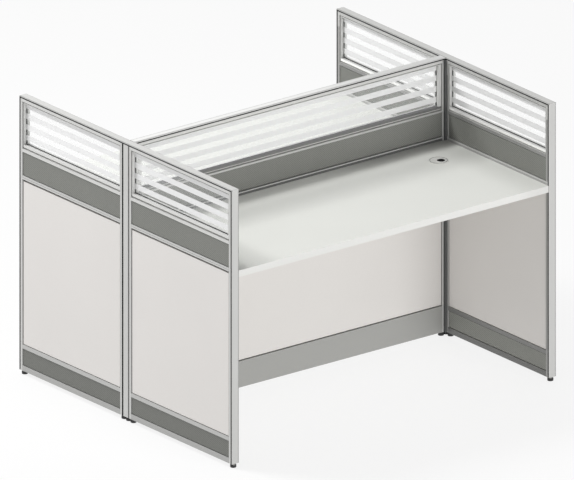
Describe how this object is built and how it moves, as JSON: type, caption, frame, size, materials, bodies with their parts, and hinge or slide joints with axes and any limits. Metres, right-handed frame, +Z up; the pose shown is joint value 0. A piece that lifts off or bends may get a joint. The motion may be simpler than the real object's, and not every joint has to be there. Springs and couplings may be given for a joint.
{
  "type": "cubicle workstation",
  "caption": "Back-to-back cubicle workstation: framed side panels with glass tops, a middle spine panel, and a worktop with a cable grommet on each side.",
  "frame": {"origin": "on the floor plane (undersides of the feet), in the middle of the plan outline", "axes": "+X across the cubicle to the right of a person sitting at the front worktop, +Y from the front opening to the back opening, +Z up"},
  "size_m": [1.473, 1.24, 1.064],
  "materials": {
    "frame_aluminium": "satin anodised, fine lengthwise draw lines",
    "tile_board": "matt melamine facing, fine pebble texture",
    "cover_grey": "matt grey, staggered fine perforation dots",
    "base_cover_grey": "smooth matt grey",
    "glass": "clear with frosted film stripes",
    "seal_black": "matt",
    "worktop_board": "matt laminate with a pale edge band",
    "bracket_steel": "powder coat",
    "grommet_plastic": "fine moulded grain, light grey with a dark inside",
    "foot_plastic": "moulded pad with a zinc-plated stud",
    "fastener_steel": "zinc plated"
  },
  "bodies": {
    "frame": {"left_front_stiles": "frame_aluminium", "left_front_rails": "frame_aluminium", "left_front_tiles": "tile_board", "left_front_covers": "cover_grey", "left_front_glass": "glass", "left_back_stiles": "frame_aluminium", "left_back_rails": "frame_aluminium", "left_back_tiles": "tile_board", "left_back_covers": "cover_grey", "left_back_glass": "glass", "right_front_stiles": "frame_aluminium", "right_front_rails": "frame_aluminium", "right_front_tiles": "tile_board", "right_front_covers": "cover_grey", "right_front_glass": "glass", "right_back_stiles": "frame_aluminium", "right_back_rails": "frame_aluminium", "right_back_tiles": "tile_board", "right_back_covers": "cover_grey", "right_back_glass": "glass", "spine_stiles": "frame_aluminium", "spine_rails": "frame_aluminium", "spine_tiles": "tile_board", "spine_belt_covers": "cover_grey", "spine_glass": "glass", "post_left": "frame_aluminium", "post_right": "frame_aluminium", "left_top_cap": "frame_aluminium", "right_top_cap": "frame_aluminium", "spine_top_cap": "frame_aluminium", "end_caps": "frame_aluminium", "glazing_frames": "frame_aluminium", "glazing_seals": "seal_black", "joint_seals": "seal_black", "worktop_front": "worktop_board", "worktop_back": "worktop_board", "brackets_front": "bracket_steel", "brackets_back": "bracket_steel", "grommet_liner_front": "grommet_plastic", "grommet_liner_back": "grommet_plastic", "foot_inserts": "fastener_steel", "post_bolts": "fastener_steel", "rail_screws": "fastener_steel", "bracket_screws": "fastener_steel"},
    "foot_left_1": {"foot_left_1": "foot_plastic"},
    "foot_left_2": {"foot_left_2": "foot_plastic"},
    "foot_left_3": {"foot_left_3": "foot_plastic"},
    "foot_left_4": {"foot_left_4": "foot_plastic"},
    "foot_left_5": {"foot_left_5": "foot_plastic"},
    "foot_right_1": {"foot_right_1": "foot_plastic"},
    "foot_right_2": {"foot_right_2": "foot_plastic"},
    "foot_right_3": {"foot_right_3": "foot_plastic"},
    "foot_right_4": {"foot_right_4": "foot_plastic"},
    "foot_right_5": {"foot_right_5": "foot_plastic"},
    "foot_spine_left": {"foot_spine_left": "foot_plastic"},
    "foot_spine_right": {"foot_spine_right": "foot_plastic"},
    "spine_base_cover_front": {"spine_base_cover_front": "base_cover_grey"},
    "spine_base_cover_back": {"spine_base_cover_back": "base_cover_grey"},
    "grommet_cap_front": {"grommet_cap_front": "grommet_plastic"},
    "grommet_cap_back": {"grommet_cap_back": "grommet_plastic"}
  },
  "joints": [
    {"name": "foot_left_1_level", "type": "slide", "parent": "frame", "child": "foot_left_1", "axis": [0, 0, -1], "range_m": [-0.004, 0.015]},
    {"name": "foot_left_2_level", "type": "slide", "parent": "frame", "child": "foot_left_2", "axis": [0, 0, -1], "range_m": [-0.004, 0.015]},
    {"name": "foot_left_3_level", "type": "slide", "parent": "frame", "child": "foot_left_3", "axis": [0, 0, -1], "range_m": [-0.004, 0.015]},
    {"name": "foot_left_4_level", "type": "slide", "parent": "frame", "child": "foot_left_4", "axis": [0, 0, -1], "range_m": [-0.004, 0.015]},
    {"name": "foot_left_5_level", "type": "slide", "parent": "frame", "child": "foot_left_5", "axis": [0, 0, -1], "range_m": [-0.004, 0.015]},
    {"name": "foot_right_1_level", "type": "slide", "parent": "frame", "child": "foot_right_1", "axis": [0, 0, -1], "range_m": [-0.004, 0.015]},
    {"name": "foot_right_2_level", "type": "slide", "parent": "frame", "child": "foot_right_2", "axis": [0, 0, -1], "range_m": [-0.004, 0.015]},
    {"name": "foot_right_3_level", "type": "slide", "parent": "frame", "child": "foot_right_3", "axis": [0, 0, -1], "range_m": [-0.004, 0.015]},
    {"name": "foot_right_4_level", "type": "slide", "parent": "frame", "child": "foot_right_4", "axis": [0, 0, -1], "range_m": [-0.004, 0.015]},
    {"name": "foot_right_5_level", "type": "slide", "parent": "frame", "child": "foot_right_5", "axis": [0, 0, -1], "range_m": [-0.004, 0.015]},
    {"name": "foot_spine_left_level", "type": "slide", "parent": "frame", "child": "foot_spine_left", "axis": [0, 0, -1], "range_m": [-0.004, 0.015]},
    {"name": "foot_spine_right_level", "type": "slide", "parent": "frame", "child": "foot_spine_right", "axis": [0, 0, -1], "range_m": [-0.004, 0.015]},
    {"name": "base_cover_front_pull", "type": "slide", "parent": "frame", "child": "spine_base_cover_front", "axis": [0, -1, 0], "range_m": [0, 0.08]},
    {"name": "base_cover_back_pull", "type": "slide", "parent": "frame", "child": "spine_base_cover_back", "axis": [0, 1, 0], "range_m": [0, 0.08]},
    {"name": "grommet_cap_front_turn", "type": "hinge", "parent": "frame", "child": "grommet_cap_front", "pos_m": [0.553, -0.17, 0.75], "axis": [0, 0, 1], "continuous": true},
    {"name": "grommet_cap_back_turn", "type": "hinge", "parent": "frame", "child": "grommet_cap_back", "pos_m": [-0.553, 0.17, 0.75], "axis": [0, 0, 1], "continuous": true}
  ]
}
